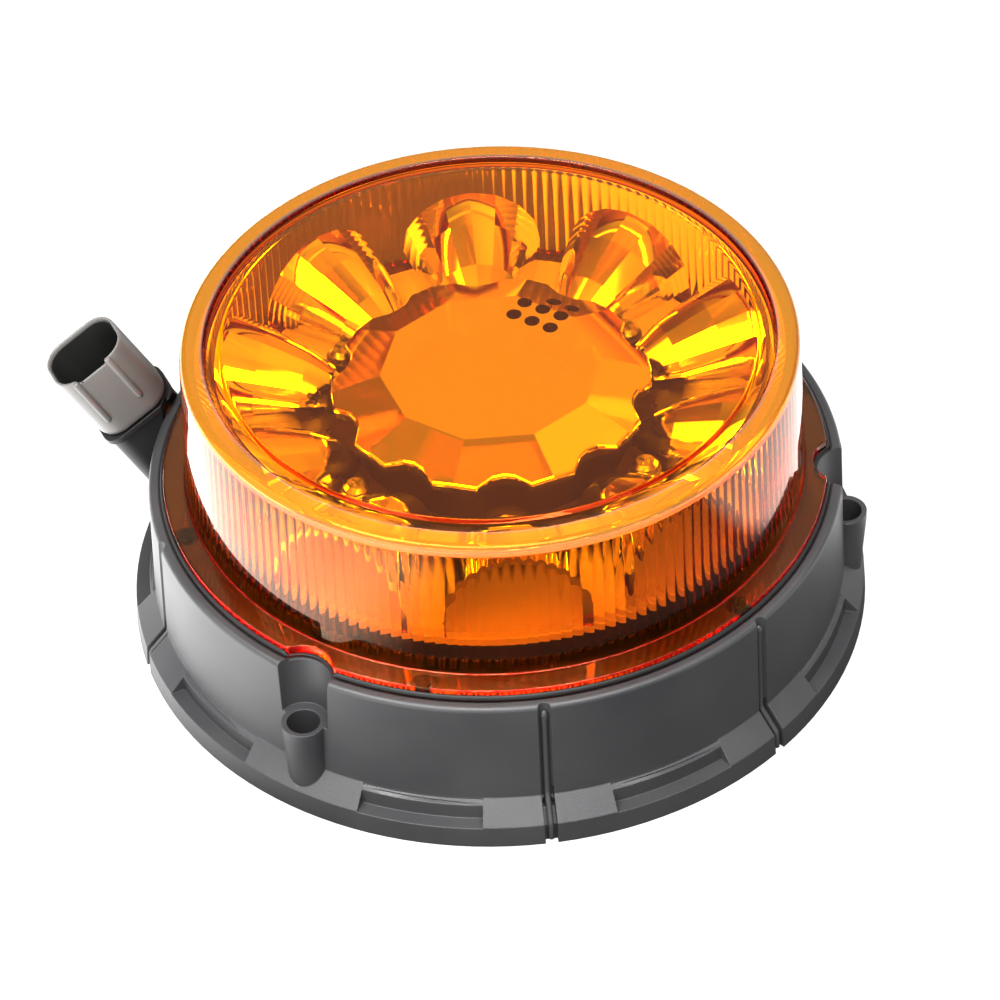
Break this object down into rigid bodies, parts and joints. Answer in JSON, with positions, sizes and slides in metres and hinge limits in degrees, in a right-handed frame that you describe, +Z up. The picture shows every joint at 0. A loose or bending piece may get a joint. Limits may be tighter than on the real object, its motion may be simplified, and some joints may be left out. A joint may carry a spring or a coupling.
{
  "type": "led warning beacon",
  "caption": "Low round amber LED warning beacon with a fluted lens, cup reflectors, a bolt-down base and a sealed two-way connector on a short stub.",
  "frame": {"origin": "centre of the mounting face, on the axis of the three-bolt circle", "axes": "+Z up along the lamp's axis, +X through one mounting bolt; the connector leaves towards -X"},
  "size_m": [0.1737, 0.156, 0.0696],
  "materials": {
    "charcoal_plastic": "fine moulded texture",
    "amber_lens": "clear moulded polycarbonate, fluted inside",
    "black_rubber": "matt",
    "steel_screw": "zinc plated",
    "black_anodised": "black anodised",
    "grey_silicone": "matt",
    "white_solder_mask": "semi-gloss",
    "led_phosphor": "satin",
    "clear_silicone": "clear",
    "metallised": "vacuum metallised, mirror",
    "brass": "plain",
    "green_solder_mask": "semi-gloss",
    "ferrite": "sintered",
    "capacitor_sleeve": "shrink sleeve",
    "chip_epoxy": "matt",
    "header_nylon": "natural",
    "red_insulation": "satin",
    "orange_silicone": "matt",
    "grey_nylon": "satin moulded",
    "dark_nylon": "satin",
    "tinned_pin": "tin plated"
  },
  "bodies": {
    "root": {"base_housing": "charcoal_plastic", "lens": "amber_lens", "lens_gasket": "black_rubber", "lens_screws": "steel_screw", "heat_spreader": "black_anodised", "thermal_pad": "grey_silicone", "led_board": "white_solder_mask", "leds": "led_phosphor", "led_domes": "clear_silicone", "reflector_plate": "metallised", "reflector_cups": "metallised", "reflector_cap": "metallised", "reflector_screws": "steel_screw", "post_inserts": "brass", "driver_board": "green_solder_mask", "driver_screws": "steel_screw", "inductor": "ferrite", "capacitors": "capacitor_sleeve", "driver_chips": "chip_epoxy", "input_header": "header_nylon", "link_header": "chip_epoxy", "lead_positive": "red_insulation", "lead_negative": "black_rubber", "vent_plug": "black_rubber", "connector_boot": "black_rubber", "connector_seal": "orange_silicone", "connector_shell": "grey_nylon", "connector_wedge": "dark_nylon", "connector_pins": "tinned_pin"}
  },
  "joints": []
}
